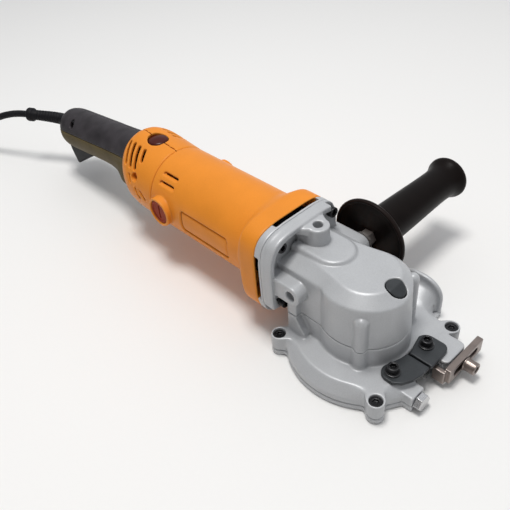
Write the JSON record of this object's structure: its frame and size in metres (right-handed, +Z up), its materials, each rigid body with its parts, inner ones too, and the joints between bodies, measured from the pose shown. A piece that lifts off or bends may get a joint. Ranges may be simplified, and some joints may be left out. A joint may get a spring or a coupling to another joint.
{
  "type": "portable rebar cutting saw",
  "caption": "Corded hand saw for steel reinforcing bar: a grinder-type motor drives a flat round blade in a round case through a right-angle gear head, with side and rear handles.",
  "frame": {"origin": "on the blade's axis at the flat underside of the blade case", "axes": "+X forward from the handle to the bar notch, +Y towards the side handle, +Z up from the blade case to the gear head"},
  "size_m": [0.7035, 0.3675, 0.1],
  "materials": {
    "casting": "silver-grey painted die casting, fine orange-peel surface",
    "screw_black": "black oxide screws",
    "guard_plate": "dark grey painted plate",
    "bright_steel": "zinc-plated steel",
    "black_plastic": "satin black nylon",
    "blade_steel": "dark coated blade steel",
    "machined_steel": "ground steel",
    "laminated_iron": "varnished laminations",
    "copper": "turned copper",
    "brass": "pressed brass",
    "cap_brown": "red-brown moulded cap",
    "orange_housing": "orange nylon, satin with a fine grain",
    "maroon_button": "dark maroon, glossy",
    "charcoal_handle": "charcoal plastic, fine grain",
    "cord_rubber": "black rubber"
  },
  "bodies": {
    "tool": {"base_cover": "casting", "blade_case": "casting", "case_screw_1": "screw_black", "case_screw_2": "screw_black", "case_screw_3": "screw_black", "case_screw_4": "screw_black", "plate_screw_right": "screw_black", "plate_screw_left": "screw_black", "stopper_bolt": "bright_steel", "lug_hex_bolt": "bright_steel", "gear_head": "casting", "bearing_plate": "casting", "head_screw_1": "screw_black", "head_screw_2": "screw_black", "head_screw_3": "screw_black", "head_screw_4": "screw_black", "spindle_bearing_lower": "machined_steel", "spindle_bearing_upper": "machined_steel", "shaft_bearing_lower": "machined_steel", "shaft_bearing_upper": "machined_steel", "motor_housing": "orange_housing", "field_core": "laminated_iron", "motor_bearing_front": "machined_steel", "motor_bearing_rear": "machined_steel", "brush_holder_left": "brass", "brush_cap_left": "cap_brown", "rear_cover_left": "orange_housing", "brush_holder_right": "brass", "brush_cap_right": "cap_brown", "rear_cover_right": "orange_housing", "handle_upper": "charcoal_handle", "handle_lower": "charcoal_handle", "switch_body": "black_plastic", "handle_screw": "screw_black", "strain_relief": "cord_rubber", "side_handle_grip": "black_plastic", "side_handle_disc": "black_plastic", "side_handle_stud": "bright_steel", "power_cord": "cord_rubber", "cord_coil": "cord_rubber", "plug": "cord_rubber"},
    "armature": {"armature_shaft": "machined_steel", "armature_core": "laminated_iron", "commutator": "copper", "fan": "black_plastic", "bevel_pinion": "machined_steel"},
    "intermediate": {"intermediate_shaft": "machined_steel", "bevel_gear": "machined_steel"},
    "blade_spindle": {"spindle": "machined_steel", "spindle_gear": "machined_steel", "blade_flange": "machined_steel", "blade": "blade_steel", "blade_bolt": "machined_steel"},
    "trigger": {"trigger": "black_plastic"},
    "spindle_lock": {"spindle_lock_button": "black_plastic"},
    "rear_button": {"rear_button": "maroon_button"},
    "stopper": {"stopper": "bright_steel"},
    "guard_left": {"guard_plate_left": "guard_plate"},
    "guard_right": {"guard_plate_right": "guard_plate"}
  },
  "joints": [
    {"name": "armature_spin", "type": "hinge", "parent": "tool", "child": "armature", "pos_m": [-0.14, 0, 0.0587], "axis": [1, 0, 0], "continuous": true},
    {"name": "intermediate_spin", "type": "hinge", "parent": "tool", "child": "intermediate", "pos_m": [-0.03062, 0, 0.05], "axis": [0, 0, 1], "continuous": true},
    {"name": "blade_spin", "type": "hinge", "parent": "tool", "child": "blade_spindle", "pos_m": [0, 0, 0.03], "axis": [0, 0, 1], "continuous": true},
    {"name": "trigger_pull", "type": "hinge", "parent": "tool", "child": "trigger", "pos_m": [-0.358, 0, 0.046], "axis": [0, 1, 0], "range_deg": [0, 5], "stiffness_Nm_per_rad": 0.8, "springref_deg": -5.73},
    {"name": "spindle_lock_press", "type": "slide", "parent": "tool", "child": "spindle_lock", "axis": [0, 0, -1], "range_m": [0, 0.0026], "stiffness_N_per_m": 400, "springref_m": -0.001},
    {"name": "rear_button_press", "type": "slide", "parent": "tool", "child": "rear_button", "axis": [0, 0, -1], "range_m": [0, 0.0025], "stiffness_N_per_m": 300, "springref_m": -0.001},
    {"name": "stopper_slide", "type": "slide", "parent": "tool", "child": "stopper", "axis": [0, 1, 0], "range_m": [-0.012, 0.006]},
    {"name": "guard_left_swing", "type": "hinge", "parent": "tool", "child": "guard_left", "pos_m": [0.044, 0.0145, 0.02], "axis": [0, 0, 1], "range_deg": [0, 85]},
    {"name": "guard_right_swing", "type": "hinge", "parent": "tool", "child": "guard_right", "pos_m": [0.0407, -0.0208, 0.02], "axis": [0, 0, 1], "range_deg": [-75, 0]}
  ],
  "couplings": [
    {"joint": "intermediate_spin", "follows": "armature_spin", "ratio": -0.31429},
    {"joint": "blade_spin", "follows": "armature_spin", "ratio": 0.070714}
  ]
}
